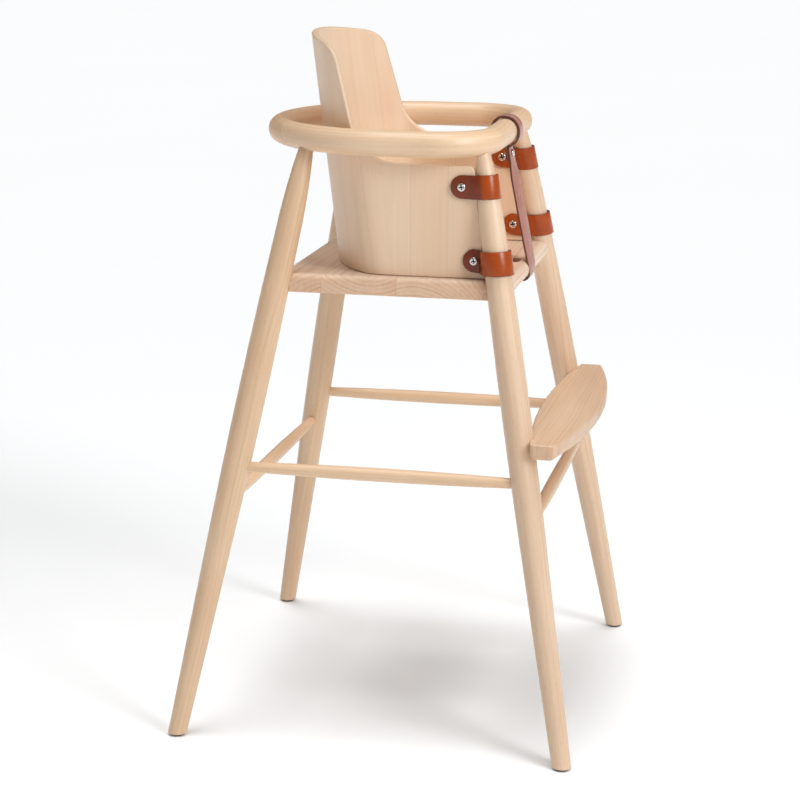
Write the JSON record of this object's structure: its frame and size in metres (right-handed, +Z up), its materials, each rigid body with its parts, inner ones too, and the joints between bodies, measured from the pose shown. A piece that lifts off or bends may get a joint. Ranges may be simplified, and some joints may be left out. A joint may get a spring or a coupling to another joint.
{
  "type": "baby_high_chair",
  "caption": "Wooden high chair for a baby: splayed turned legs, bent arm rail, moulded plywood seat shell, footrest and leather straps",
  "frame": {"origin": "on the floor, midway between the four feet", "axes": "+Z up, -Y the way the seated child faces, +X the seated child's left"},
  "size_m": [0.5174, 0.4833, 0.8159],
  "materials": {
    "beech": "satin clear lacquer",
    "moulded_ply": "satin clear lacquer",
    "tan_leather": "smooth vegetable tanned",
    "brown_leather": "matt",
    "bright_metal": "polished nickel",
    "glide_plastic": "matt"
  },
  "bodies": {
    "root": {"leg_front_right": "beech", "leg_front_left": "beech", "leg_rear_right": "beech", "leg_rear_left": "beech", "glide_front_right": "glide_plastic", "glide_front_left": "glide_plastic", "glide_rear_right": "glide_plastic", "glide_rear_left": "glide_plastic", "arm_ring": "beech", "seat_board": "beech", "footrest": "beech", "stretcher_right": "beech", "stretcher_left": "beech", "stretcher_front": "beech", "stretcher_rear": "beech", "seat_dowel_front_right": "beech", "seat_dowel_front_left": "beech", "seat_dowel_rear_right": "beech", "seat_dowel_rear_left": "beech", "footrest_dowel_right": "beech", "footrest_dowel_left": "beech", "seat_shell": "moulded_ply", "strap_right_upper": "tan_leather", "screw_right_upper": "bright_metal", "nut_right_upper": "bright_metal", "strap_right_lower": "tan_leather", "screw_right_lower": "bright_metal", "nut_right_lower": "bright_metal", "strap_left_upper": "tan_leather", "screw_left_upper": "bright_metal", "nut_left_upper": "bright_metal", "strap_left_lower": "tan_leather", "screw_left_lower": "bright_metal", "nut_left_lower": "bright_metal", "crotch_strap": "brown_leather", "strap_stud_post": "bright_metal", "strap_stud_cap": "bright_metal", "tail_screw": "bright_metal"}
  },
  "joints": []
}
